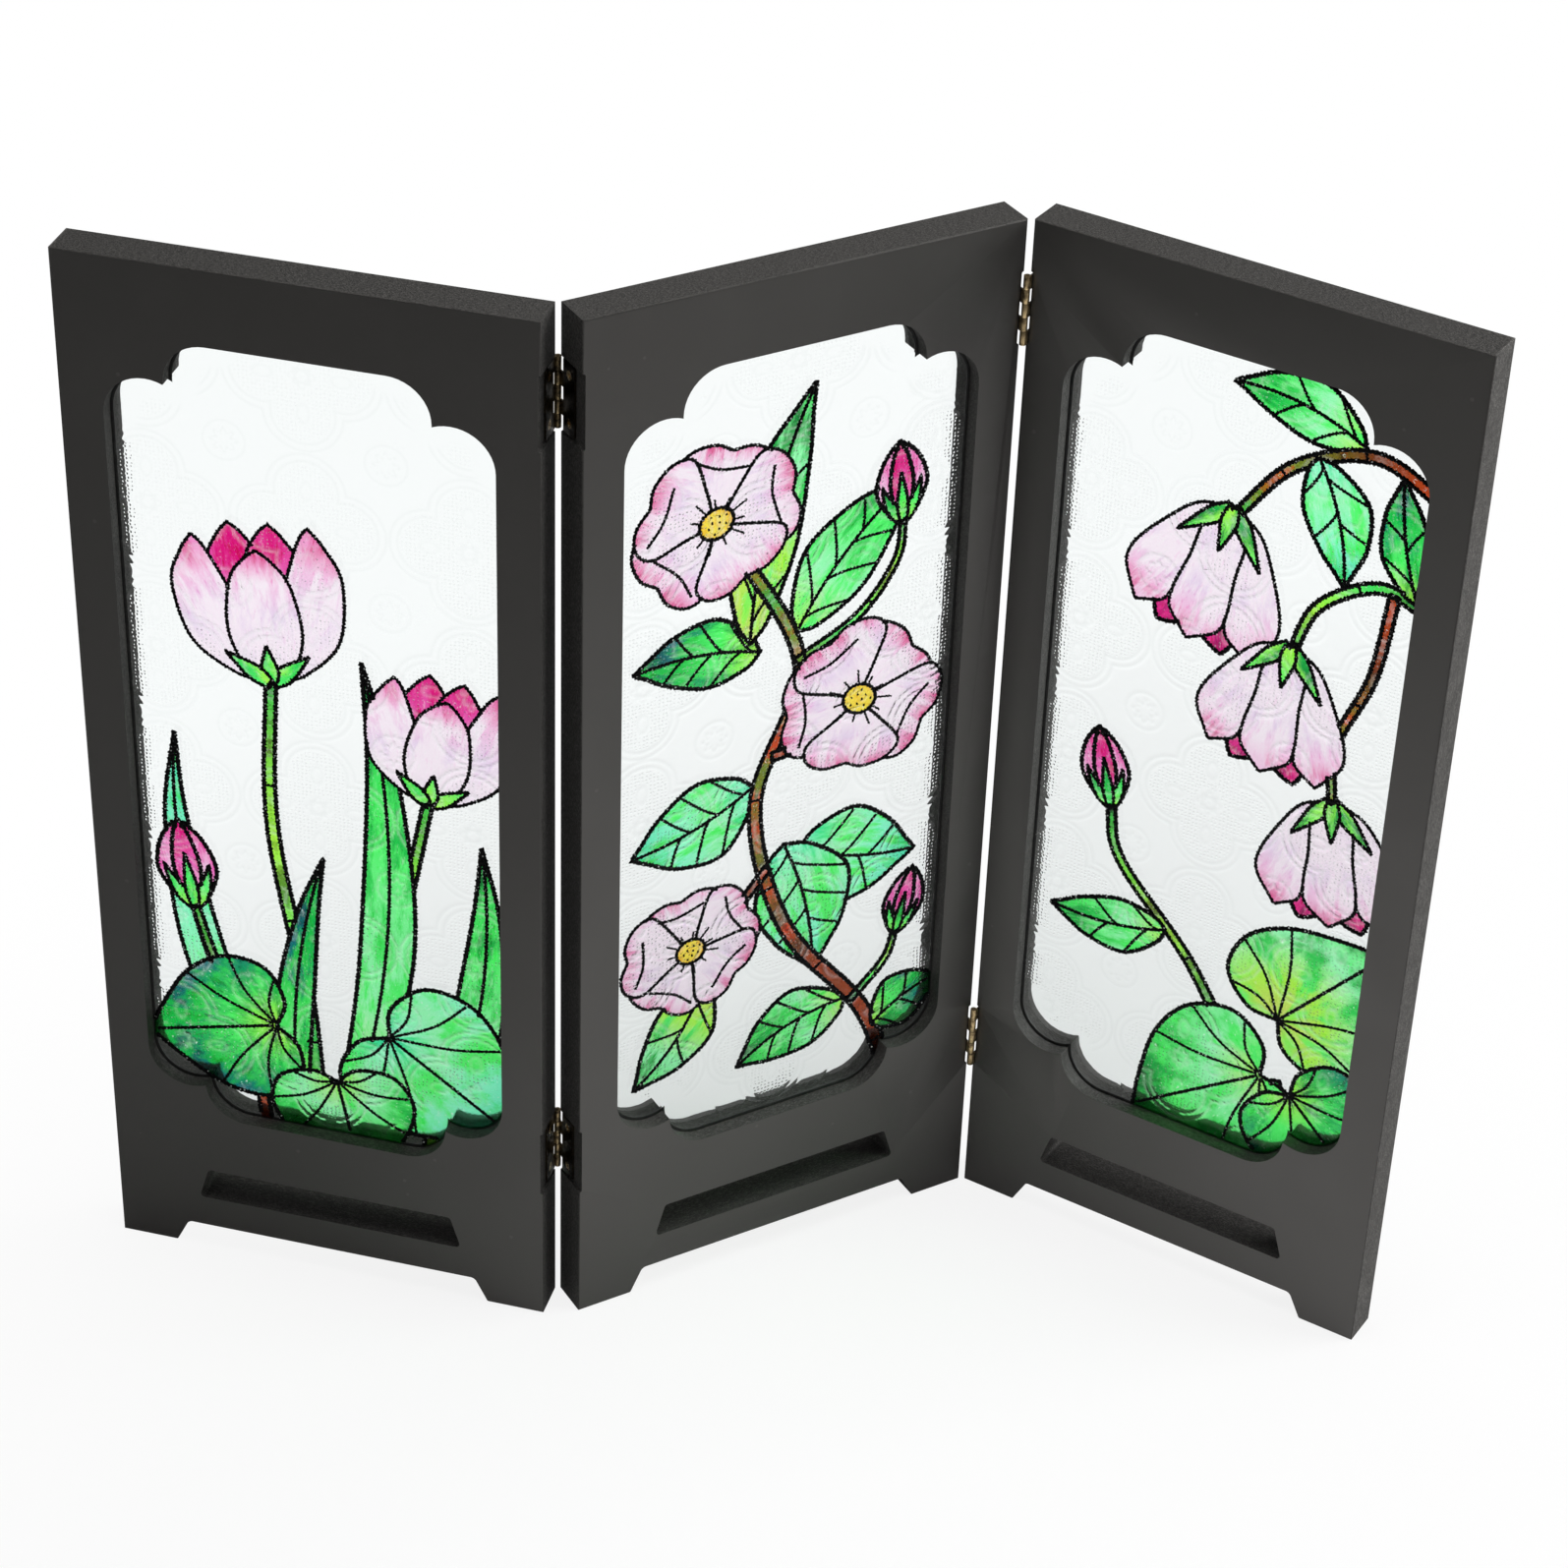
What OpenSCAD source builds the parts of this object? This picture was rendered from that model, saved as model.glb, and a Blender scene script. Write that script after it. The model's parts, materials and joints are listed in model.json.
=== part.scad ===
// Three-leaf folding desk screen with windows and butt hinges.
// Each board stands in its own frame: x along its width, y from its front face to its back, z up.
// Every hinge stands in its own frame: the pin along z, one leaf towards +x, its free edge towards -y.

/* [Board] */
// Width of each board
board_w = 162; // [130:1:220]
// Height of each board, from the floor to its top edge
board_h = 400; // [300:1:600]
// Thickness of each board
board_t = 15; // [12:0.5:24]
// Radius of the softened outer arrises
arris_r = 0.6; // [0.3:0.1:1.5]

/* [Window] */
// Width of the stile beside the window
stile_w = 15; // [12:0.5:24]
// Height of the rail above the window
top_rail = 27; // [18:0.5:50]
// Height of the rail below the window, from the floor
bottom_rail = 61; // [52:0.5:100]
// Radius of the eight round lobes at the window's corners
lobe_r = 15; // [13:0.5:18]
// How far the tall middle part stands in from the window's sides
step_x = 21; // [16:0.5:24]
// How far the tall middle part stands above the side parts
step_z = 14.5; // [10:0.5:20]
// How far the tall middle part reaches below the side parts
low_step_z = 13; // [10:0.5:20]

/* [Pane] */
// Thickness of the pane
pane_t = 3; // [2:0.5:4]
// Depth of the pane's front face behind the board's front face
pane_setback = 5.5; // [3:0.5:8.5]
// Glue line between the pane's edge and the window's wall
pane_gap = 0.25; // [0.1:0.05:0.5]

/* [Bottom rail] */
// Distance from the board's end to the slot's lower corner
slot_inset = 31; // [24:0.5:45]
// How much each end of the slot leans in towards its top
slot_lean = 4; // [0:0.5:8]
// Height of the slot
slot_h = 13; // [8:0.5:18]
// Height of the slot's lower edge above the floor
slot_z = 23; // [17:0.5:30]
// Radius of the slot's corners
slot_r = 1.5; // [0.5:0.25:3]
// Width of each foot on the floor
foot_w = 21; // [14:0.5:35]
// Height of the arch between the feet
arch_h = 10; // [6:0.5:15]
// How much each side of the arch leans in towards its top
arch_lean = 5; // [1:0.5:9]
// Radius of the arch's upper corners
arch_r = 2.5; // [1:0.25:4]
// Radius of the feet's inner toes
toe_r = 1.5; // [0.5:0.25:2.5]

/* [Folds] */
// Angle that the left fold is turned from flat
left_fold = 44.5; // [15:0.5:120]
// Angle that the right fold is turned from flat
right_fold = 62; // [15:0.5:120]

/* [Hinges] */
// Length of each hinge along its pin
hinge_h = 25.4; // [20:0.2:38]
// Distance from the board's top edge to the upper hinge
hinge_top = 19.5; // [10:0.5:60]
// Height of the lower hinge's lower end above the floor
hinge_foot = 56; // [30:0.5:110]
// Diameter of the hinge pin
pin_d = 1; // [0.8:0.1:1.6]
// Thickness of the hinge leaf
leaf_t = 0.7; // [0.6:0.1:0.9]
// How far a leaf reaches across the board's end, from the face at its knuckles
leaf_reach = 9; // [7.5:0.5:11]
// Radius of the leaf's free corners
leaf_r = 1.2; // [0.4:0.1:2]
// Depth of the mortise that a leaf lies in
mortise_d = 1; // [0.8:0.05:1.1]
// Radius where the mortise's floor turns up at its ends
mortise_r = 0.6; // [0.3:0.1:1]
// Play between a leaf's end and the flat of its mortise
mortise_gap = 0.15; // [0.1:0.05:0.5]
// Space between the barrel and the plane of the board's face
barrel_proud = 0.3; // [0.2:0.1:1.2]
// Space between neighbouring knuckles
knuckle_gap = 0.2; // [0.1:0.05:0.4]
// How far each leaf is cut back from the other leaf's knuckles
notch_gap = 1.5; // [0.3:0.1:1.8]
// How far the pin stands out of the barrel at each end
pin_proud = 0.3; // [0.2:0.05:0.8]

/* [Screws] */
// Diameter of a screw's shank
screw_d = 1.8; // [1.4:0.1:2.2]
// Diameter of a screw's head
head_d = 3.4; // [3:0.1:4]
// Length of a screw, with its head
screw_len = 9; // [6:0.5:10.5]
// Distance from the leaf's free edge to the screws
screw_edge = 3.8; // [3.2:0.1:4.4]
// Distance from the leaf's end to each screw
screw_end = 4.2; // [3.4:0.1:6]

/* [Hidden] */
$fn = 64;

// Cuts run this far past the faces that they open through
over = 1;

// Running and fixed fits of the pin, and the fits of the screws, all on the radius
pin_run = 0.06;
pin_fix = 0.01;
head_gap = 0.05;
pilot_gap = 0.05;
pilot_end = 0.5;

// Hinge sizes that follow from the pin and the leaf
knuckles = 5;
knuckle_pitch = hinge_h / knuckles;
pin_r = pin_d / 2;
barrel_r = pin_r + leaf_t;
pin_out = barrel_r + barrel_proud;
leaf_edge = pin_out + leaf_reach;
leaf_face = barrel_r - leaf_t;
notch_edge = barrel_r + notch_gap;
board_gap = 2 * (barrel_r - mortise_d);
seam_w = 0.15;
seam_depth = 0.4;
pin_chamfer = 0.2;

// Screw sizes that follow from the leaf
screw_r = screw_d / 2;
head_r = head_d / 2;
sink_lip = 0.1;
sink_r = head_r + 2 * head_gap;
head_h = leaf_t - sink_lip;
tip_h = screw_d;
tip_r = 0.2;
recess_w = 0.35;
recess_d = 0.45;
recess_rim = 0.65;
recess_l = head_d - 2 * recess_rim;
screw_y = leaf_edge - screw_edge;
screw_z = hinge_h / 2 - screw_end;

// Heights of the hinges' middles
upper_z = board_h - hinge_top - hinge_h / 2;
lower_z = hinge_foot + hinge_h / 2;

// Headings of the boards: the right fold is symmetric about the y axis
middle_turn = right_fold / 2;
right_turn = middle_turn - right_fold;
left_turn = middle_turn - left_fold;

// Pin axes in each board's own frame: the left fold's pins are behind the boards, the right fold's in front
function turned(p, a) = [p.x * cos(a) - p.y * sin(a), p.x * sin(a) + p.y * cos(a)];
back_y = board_t + pin_out;
front_y = -pin_out;
near_x = -board_gap / 2;
far_x = board_w + board_gap / 2;

// Places of the pins and of each board's front left corner, with the middle board's corner at zero
left_axis = turned([near_x, back_y], middle_turn);
right_axis = turned([far_x, front_y], middle_turn);
left_corner = left_axis - turned([far_x, back_y], left_turn);
right_corner = right_axis - turned([near_x, front_y], right_turn);

// Outer box of the whole screen on the floor, whose middle is the origin
function around(centre, r) = [for (s = [-1, 1]) centre + s * r * [1, 1]];
function footprint(corner, a) = [
    for (x = [arris_r, board_w - arris_r])
        for (y = [arris_r, board_t - arris_r])
            each around(corner + turned([x, y], a), arris_r)
];
floor_points = concat(
    footprint(left_corner, left_turn),
    footprint([0, 0], middle_turn),
    footprint(right_corner, right_turn),
    around(left_axis, barrel_r),
    around(right_axis, barrel_r)
);
xs = [for (p = floor_points) p.x];
ys = [for (p = floor_points) p.y];
middle = [(min(xs) + max(xs)) / 2, (min(ys) + max(ys)) / 2];

// Colours
board_colour = [0.19, 0.19, 0.18];
pane_colour = [0.86, 0.92, 0.91, 0.5];
leaf_colour = [0.42, 0.35, 0.22];
pin_colour = [0.55, 0.47, 0.33];
screw_colour = [0.62, 0.54, 0.38];

// Stands children in a board's frame
module in_board(corner, turn) {
    translate([corner.x - middle.x, corner.y - middle.y, 0])
        rotate([0, 0, turn])
            children();
}

module in_left() in_board(left_corner, left_turn) children();
module in_middle() in_board([0, 0], middle_turn) children();
module in_right() in_board(right_corner, right_turn) children();

// Stands an outline drawn in x and z upright, from y to y + t
module upright(y, t) {
    translate([0, y + t, 0])
        rotate([90, 0, 0])
            linear_extrude(height = t)
                children();
}

// Corner arithmetic for outlines: unit vector, tangent points and centre of the arc at corner i
function unit(v) = v / norm(v);
function toward_last(p, i) = unit(p[(i + len(p) - 1) % len(p)] - p[i]);
function toward_next(p, i) = unit(p[(i + 1) % len(p)] - p[i]);
function half_angle(p, i) = acos(toward_last(p, i) * toward_next(p, i)) / 2;
function tangent(p, r, i) = r[i] / tan(half_angle(p, i));
function arc_centre(p, r, i) =
    p[i] + unit(toward_last(p, i) + toward_next(p, i)) * r[i] / sin(half_angle(p, i));
function is_outer(p, i) =
    let (a = toward_last(p, i), b = toward_next(p, i)) b.x * a.y - b.y * a.x > 0;
function cut_corner(p, r, i) =
    r[i] == 0
        ? [p[i]]
        : [p[i] + toward_last(p, i) * tangent(p, r, i), p[i] + toward_next(p, i) * tangent(p, r, i)];

// Counter-clockwise outline p with an arc of radius r[i] at each corner: outer corners rounded, inner ones filleted
module arced(p, r) {
    difference() {
        union() {
            polygon([for (i = [0 : len(p) - 1]) each cut_corner(p, r, i)]);
            for (i = [0 : len(p) - 1])
                if (r[i] > 0 && is_outer(p, i))
                    translate(arc_centre(p, r, i))
                        circle(r[i]);
        }
        for (i = [0 : len(p) - 1])
            if (r[i] > 0 && !is_outer(p, i))
                translate(arc_centre(p, r, i))
                    circle(r[i]);
    }
}

module box_outline(x0, x1, y0, y1, r) {
    arced([[x0, y0], [x1, y0], [x1, y1], [x0, y1]], [r, r, r, r]);
}

// Window with two round lobes at each corner, drawn in by inset: a tall middle part, a wide band and four lobes
module window_outline(inset) {
    x0 = stile_w + inset;
    x1 = board_w - x0;
    z0 = bottom_rail + inset;
    z1 = board_h - top_rail - inset;
    r = lobe_r - inset;
    box_outline(x0 + step_x, x1 - step_x, z0, z1, r);
    translate([x0, z0 + low_step_z + r])
        square([x1 - x0, z1 - z0 - low_step_z - step_z - 2 * r]);
    for (x = [x0 + r, x1 - r])
        for (z = [z0 + low_step_z + r, z1 - step_z - r])
            translate([x, z])
                circle(r);
}

// Slot in the bottom rail, narrower at its top
module slot_outline() {
    arced(
        [
            [slot_inset, slot_z],
            [board_w - slot_inset, slot_z],
            [board_w - slot_inset - slot_lean, slot_z + slot_h],
            [slot_inset + slot_lean, slot_z + slot_h]
        ],
        [slot_r, slot_r, slot_r, slot_r]
    );
}

// Outer edge of the board, with the arch between its feet
module board_outline() {
    arced(
        [
            [0, 0],
            [foot_w, 0],
            [foot_w + arch_lean, arch_h],
            [board_w - foot_w - arch_lean, arch_h],
            [board_w - foot_w, 0],
            [board_w, 0],
            [board_w, board_h],
            [0, board_h]
        ],
        [0, toe_r, arch_r, arch_r, toe_r, 0, 0, 0]
    );
}

// Two shapes that the board is trimmed to, which soften its long outer arrises
module rounded_plan() {
    linear_extrude(height = board_h)
        box_outline(0, board_w, 0, board_t, arris_r);
}

module rounded_section() {
    rotate([90, 0, 90])
        linear_extrude(height = board_w)
            box_outline(0, board_t, 0, board_h, arris_r);
}

// Recess for one leaf, in the hinge frame, with the board towards +x
module mortise() {
    half = hinge_h / 2 + mortise_gap;
    floor_x = barrel_r;
    mouth_x = barrel_r - mortise_d - over;
    translate([0, -back_y - over, 0])
        rotate([-90, 0, 0])
            linear_extrude(height = board_t + 2 * over)
                arced(
                    [
                        [mouth_x, -half - mortise_r],
                        [floor_x, -half - mortise_r],
                        [floor_x, half + mortise_r],
                        [mouth_x, half + mortise_r]
                    ],
                    [0, mortise_r, mortise_r, 0]
                );
    at_screws()
        translate([0, 0, leaf_face])
            cylinder(r = screw_r + pilot_gap, h = screw_len + pilot_end);
}

// Puts children at both screws of a leaf, with their z axis along the screw
module at_screws() {
    for (z = [-screw_z, screw_z])
        translate([0, -screw_y, z])
            rotate([0, 90, 0])
                children();
}

// Places of the hinges on a board: leaf towards +x or -x, knuckles behind the board or in front of it
module on_near_end(y, turn) at_hinges(near_x, y) rotate(turn) children();
module on_far_end(y, turn) at_hinges(far_x, y) rotate(turn) children();
module at_hinges(x, y) {
    for (z = [upper_z, lower_z])
        translate([x, y, z])
            children();
}

// Turns of the hinge frame, whose leaf is alike upside down
leaf_right_back = [0, 0, 0];
leaf_left_back = [0, 180, 0];
leaf_right_front = [180, 0, 0];
leaf_left_front = [0, 0, 180];

module blank_board() {
    intersection() {
        upright(0, board_t)
            difference() {
                board_outline();
                window_outline(0);
                slot_outline();
            }
        rounded_plan();
        rounded_section();
    }
}

module left_board() {
    color(board_colour)
        in_left()
            difference() {
                blank_board();
                on_far_end(back_y, leaf_left_back) mortise();
            }
}

module middle_board() {
    color(board_colour)
        in_middle()
            difference() {
                blank_board();
                on_near_end(back_y, leaf_right_back) mortise();
                on_far_end(front_y, leaf_left_front) mortise();
            }
}

module right_board() {
    color(board_colour)
        in_right()
            difference() {
                blank_board();
                on_near_end(front_y, leaf_right_front) mortise();
            }
}

// Clear sheet that fills the window behind the board's front face
module pane() {
    color(pane_colour)
        upright(pane_setback, pane_t)
            window_outline(pane_gap);
}

module left_pane() in_left() pane();
module middle_pane() in_middle() pane();
module right_pane() in_right() pane();

// Height of a knuckle's middle, counted from the lower end
function knuckle_z(i) = (i + 0.5) * knuckle_pitch - hinge_h / 2;

// Rolled section of one knuckle with the tongue that joins it to the leaf
module knuckle_outline(fit) {
    difference() {
        union() {
            circle(barrel_r);
            translate([leaf_face, -notch_edge - over])
                square([leaf_t, notch_edge + over]);
        }
        circle(pin_r + fit);
        translate([leaf_face - seam_w, -barrel_r - over])
            square([seam_w, over + seam_depth]);
    }
}

// Leaf with its knuckles at the places in the list, countersunk for its screws
module leaf(places, fit) {
    difference() {
        union() {
            translate([leaf_face, 0, 0])
                rotate([90, 0, 90])
                    linear_extrude(height = leaf_t)
                        arced(
                            [
                                [-leaf_edge, -hinge_h / 2],
                                [-notch_edge, -hinge_h / 2],
                                [-notch_edge, hinge_h / 2],
                                [-leaf_edge, hinge_h / 2]
                            ],
                            [leaf_r, 0, 0, leaf_r]
                        );
            for (i = places)
                translate([0, 0, knuckle_z(i)])
                    linear_extrude(height = knuckle_pitch - knuckle_gap, center = true)
                        knuckle_outline(fit);
        }
        at_screws()
            translate([0, 0, leaf_face]) {
                translate([0, 0, -over])
                    cylinder(r = sink_r, h = over);
                cylinder(r1 = sink_r, r2 = screw_r + head_gap, h = head_h);
                cylinder(r = screw_r + head_gap, h = leaf_t + over);
            }
    }
}

module outer_leaf() color(leaf_colour) leaf([0, 2, 4], pin_fix);
module inner_leaf() color(leaf_colour) leaf([1, 3], pin_run);

// Pin with chamfered ends
module pin() {
    half = hinge_h / 2 + pin_proud;
    color(pin_colour)
        rotate_extrude()
            polygon([
                [0, -half],
                [pin_r - pin_chamfer, -half],
                [pin_r, pin_chamfer - half],
                [pin_r, half - pin_chamfer],
                [pin_r - pin_chamfer, half],
                [0, half]
            ]);
}

// Countersunk screw along z, with its head's face at zero and a cross recess
module screw() {
    difference() {
        rotate_extrude()
            polygon([
                [0, 0],
                [head_r, 0],
                [screw_r, head_h - head_gap],
                [screw_r, screw_len - tip_h],
                [tip_r, screw_len],
                [0, screw_len]
            ]);
        for (turn = [0, 90])
            rotate([0, 0, turn])
                translate([-recess_l / 2, -recess_w / 2, -over])
                    cube([recess_l, recess_w, recess_d + over]);
    }
}

module screws() {
    color(screw_colour)
        at_screws()
            translate([0, 0, leaf_face + head_gap])
                screw();
}

// Puts children on a fold's pin axis at height z, turned with one of its boards
module on_left_fold(z) in_middle() translate([near_x, back_y, z]) children();
module on_right_fold(z) in_middle() translate([far_x, front_y, z]) children();
module left_outer(z) in_left() translate([far_x, back_y, z]) rotate(leaf_left_back) children();
module left_inner(z) on_left_fold(z) rotate(leaf_right_back) children();
module right_outer(z) in_right() translate([near_x, front_y, z]) rotate(leaf_right_front) children();
module right_inner(z) on_right_fold(z) rotate(leaf_left_front) children();

module left_upper_outer_leaf() left_outer(upper_z) outer_leaf();
module left_upper_inner_leaf() left_inner(upper_z) inner_leaf();
module left_upper_pin() left_outer(upper_z) pin();
module left_upper_outer_screws() left_outer(upper_z) screws();
module left_upper_inner_screws() left_inner(upper_z) screws();

module left_lower_outer_leaf() left_outer(lower_z) outer_leaf();
module left_lower_inner_leaf() left_inner(lower_z) inner_leaf();
module left_lower_pin() left_outer(lower_z) pin();
module left_lower_outer_screws() left_outer(lower_z) screws();
module left_lower_inner_screws() left_inner(lower_z) screws();

module right_upper_outer_leaf() right_outer(upper_z) outer_leaf();
module right_upper_inner_leaf() right_inner(upper_z) inner_leaf();
module right_upper_pin() right_outer(upper_z) pin();
module right_upper_outer_screws() right_outer(upper_z) screws();
module right_upper_inner_screws() right_inner(upper_z) screws();

module right_lower_outer_leaf() right_outer(lower_z) outer_leaf();
module right_lower_inner_leaf() right_inner(lower_z) inner_leaf();
module right_lower_pin() right_outer(lower_z) pin();
module right_lower_outer_screws() right_outer(lower_z) screws();
module right_lower_inner_screws() right_inner(lower_z) screws();

left_board();
left_pane();
middle_board();
middle_pane();
right_board();
right_pane();

left_upper_outer_leaf();
left_upper_inner_leaf();
left_upper_pin();
left_upper_outer_screws();
left_upper_inner_screws();

left_lower_outer_leaf();
left_lower_inner_leaf();
left_lower_pin();
left_lower_outer_screws();
left_lower_inner_screws();

right_upper_outer_leaf();
right_upper_inner_leaf();
right_upper_pin();
right_upper_outer_screws();
right_upper_inner_screws();

right_lower_outer_leaf();
right_lower_inner_leaf();
right_lower_pin();
right_lower_outer_screws();
right_lower_inner_screws();
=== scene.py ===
"""Folding desk screen of three leaves: painted boards, embossed panes with raised pictures, and brass hinges.

A pane's pieces are drawn in millimetres in a frame of its own, with x along the board, y back from the pane's
front face and z up. on_pane() sets them in place.
"""

import json
from math import acos, atan2, ceil, cos, hypot, pi, radians, sin

import bpy
import numpy as np
from mathutils import Matrix, Vector
from mathutils.geometry import delaunay_2d_cdt


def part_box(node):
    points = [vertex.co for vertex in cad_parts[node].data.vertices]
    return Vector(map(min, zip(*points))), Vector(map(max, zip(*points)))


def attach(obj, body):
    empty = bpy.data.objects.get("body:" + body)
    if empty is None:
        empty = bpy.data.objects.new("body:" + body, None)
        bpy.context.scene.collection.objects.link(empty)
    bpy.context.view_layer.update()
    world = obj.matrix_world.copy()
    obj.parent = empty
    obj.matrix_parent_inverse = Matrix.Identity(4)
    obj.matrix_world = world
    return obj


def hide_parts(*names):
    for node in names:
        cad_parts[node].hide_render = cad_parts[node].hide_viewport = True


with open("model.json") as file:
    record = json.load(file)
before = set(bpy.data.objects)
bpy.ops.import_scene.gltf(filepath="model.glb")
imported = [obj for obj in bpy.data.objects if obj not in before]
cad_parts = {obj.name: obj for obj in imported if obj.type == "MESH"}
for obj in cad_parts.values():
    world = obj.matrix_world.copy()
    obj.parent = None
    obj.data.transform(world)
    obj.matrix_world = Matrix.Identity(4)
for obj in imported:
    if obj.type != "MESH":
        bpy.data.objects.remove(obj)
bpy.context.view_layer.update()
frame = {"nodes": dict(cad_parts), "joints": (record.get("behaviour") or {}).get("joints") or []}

MM = 0.001

# Sizes that the part's source gives, in millimetres
BOARD_W = 162.0
BOARD_H = 400.0
BOARD_T = 15.0
STILE_W = 15.0
TOP_RAIL = 27.0
BOTTOM_RAIL = 61.0
LOBE_R = 15.0
STEP_X = 21.0
STEP_Z = 14.5
LOW_STEP_Z = 13.0
PANE_T = 3.0
PANE_SETBACK = 5.5
PANE_GAP = 0.25
BARREL_R = 1.2

# Frames of the boards
fold_deg = {j["name"]: -j["range_deg"][0] for j in frame["joints"]}
middle_turn = fold_deg["right_fold"] / 2
TURNS = {
    "left": middle_turn - fold_deg["left_fold"],
    "middle": middle_turn,
    "right": middle_turn - fold_deg["right_fold"],
}


def middle_of(name):
    """Middle of a CAD node's box, at the floor."""
    low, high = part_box(name)
    return Vector(((low.x + high.x) / 2, (low.y + high.y) / 2, 0))


def on_pane(board):
    """Matrix to the row frame from a board's own frame, moved back to the front face of its pane."""
    corner = Matrix.Translation((-BOARD_W / 2 * MM, (PANE_SETBACK - BOARD_T / 2) * MM, 0))
    turn = Matrix.Rotation(radians(TURNS[board]), 4, "Z")
    return Matrix.Translation(middle_of(f"{board}_board")) @ turn @ corner


class Material:
    """A node material that is written as a few calls."""

    def __init__(self, name):
        self.made = bpy.data.materials.new(name)
        self.made.use_nodes = True
        self.tree = self.made.node_tree
        self.tree.nodes.clear()

    def feed(self, socket, value):
        if isinstance(value, bpy.types.NodeSocket):
            self.tree.links.new(value, socket)
        else:
            socket.default_value = value

    def node(self, kind, sockets=None, **settings):
        made = self.tree.nodes.new(f"ShaderNode{kind}")
        for key, value in settings.items():
            setattr(made, key, value)
        for key, value in (sockets or {}).items():
            self.feed(made.inputs[key], value)
        return made

    def math(self, operation, a, b=0.0, clamp=False):
        return self.node("Math", {0: a, 1: b}, operation=operation, use_clamp=clamp).outputs[0]

    def ramp(self, value, low, high, start=0.0, end=1.0):
        sockets = {"Value": value, "From Min": low, "From Max": high, "To Min": start, "To Max": end}
        return self.node("MapRange", sockets, interpolation_type="SMOOTHSTEP").outputs[0]

    def mix(self, share, a, b, blend="MIX"):
        return self.node("Mix", {"Factor": share, 6: a, 7: b}, data_type="RGBA", blend_type=blend).outputs[2]

    def attribute(self, name, output="Fac"):
        return self.node("Attribute", attribute_name=name).outputs[output]

    def turned(self, vector, turn):
        return self.node("VectorRotate", {"Vector": vector, "Angle": turn}, rotation_type="Z_AXIS").outputs[0]

    def place(self, scale=(1, 1, 1), turn=0.0):
        """Object coordinates in metres, turned about z by the given angle and then scaled."""
        where = self.turned(self.node("TexCoord").outputs["Object"], turn)
        return self.node("VectorMath", {0: where, 1: scale}, operation="MULTIPLY").outputs[0]

    def distance(self, a, b=(0, 0, 0)):
        return self.node("VectorMath", {0: a, 1: b}, operation="DISTANCE").outputs["Value"]

    def noise(self, vector, scale, detail=3.0, roughness=0.55):
        sockets = {"Vector": vector, "Scale": scale, "Detail": detail, "Roughness": roughness}
        return self.node("TexNoise", sockets).outputs["Fac"]

    def cells(self, vector, scale, random=1.0):
        sockets = {"Vector": vector, "Scale": scale, "Randomness": random}
        return self.node("TexVoronoi", sockets, feature="F1").outputs["Distance"]

    def bump(self, height, distance, strength=1.0):
        return self.node("Bump", {"Height": height, "Distance": distance, "Strength": strength}).outputs[0]

    def surface(self, shader):
        out = self.node("OutputMaterial")
        self.tree.links.new(shader, out.inputs["Surface"])
        return self.made

    def principled(self, **sockets):
        named = {key.replace("_", " "): value for key, value in sockets.items()}
        return self.node("BsdfPrincipled", named).outputs[0]

    def clear_surface(self, shader, colour):
        """The shader as the surface, through which light passes in the given colour instead of a shadow."""
        through = self.node("BsdfTransparent", {"Color": colour}).outputs[0]
        shadow = self.node("LightPath").outputs["Is Shadow Ray"]
        return self.surface(self.node("MixShader", {0: shadow, 1: shader, 2: through}).outputs[0])


def grey(level):
    return (level, level, level, 1.0)


# Finishes

FACE_PAINT = (0.0085, 0.0080, 0.0072, 1.0)
FACE_PAINT_WORN = (0.0125, 0.0118, 0.0108, 1.0)
CUT_PAINT = (0.0085, 0.0085, 0.0083, 1.0)
CUT_FIBRE = (0.076, 0.073, 0.069, 1.0)
CUT_PORE = (0.005, 0.005, 0.005, 1.0)
ARRIS_PAINT = (0.042, 0.0405, 0.038, 1.0)
# Paler colours for the free ends of the outer boards: painted light, where the lamp on the right lights the
# end.
END_PAINT_PAINTED_LIT = (0.026, 0.025, 0.024, 1.0)
END_FIBRE_PAINTED_LIT = (0.150, 0.145, 0.137, 1.0)
WARM_GLOSS = (1.0, 0.965, 0.93, 1.0)
DOT_CELLS = 690
DOT_STRAY = 0.35


def painted_light_free_end(m, board, even):
    """Where the free end of an outer board is painted paler in a mottle, 0 to 1: painted light for the lamp
    on the right.
    """
    side = -1 if board == "left" else 1
    middle = Matrix.Rotation(-radians(TURNS[board]), 3, "Z") @ middle_of(f"{board}_board")
    along = m.node("SeparateXYZ", {0: even}).outputs["X"]
    out = m.math("MULTIPLY", m.math("SUBTRACT", along, middle.x), side)
    end_mottle = m.ramp(m.noise(even, 170, 4, 0.6), 0.30, 0.62, 0.55, 1.0)
    return m.math("MULTIPLY", m.ramp(out, (BOARD_W / 2 - 0.8) * MM, (BOARD_W / 2 - 0.4) * MM), end_mottle)


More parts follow.
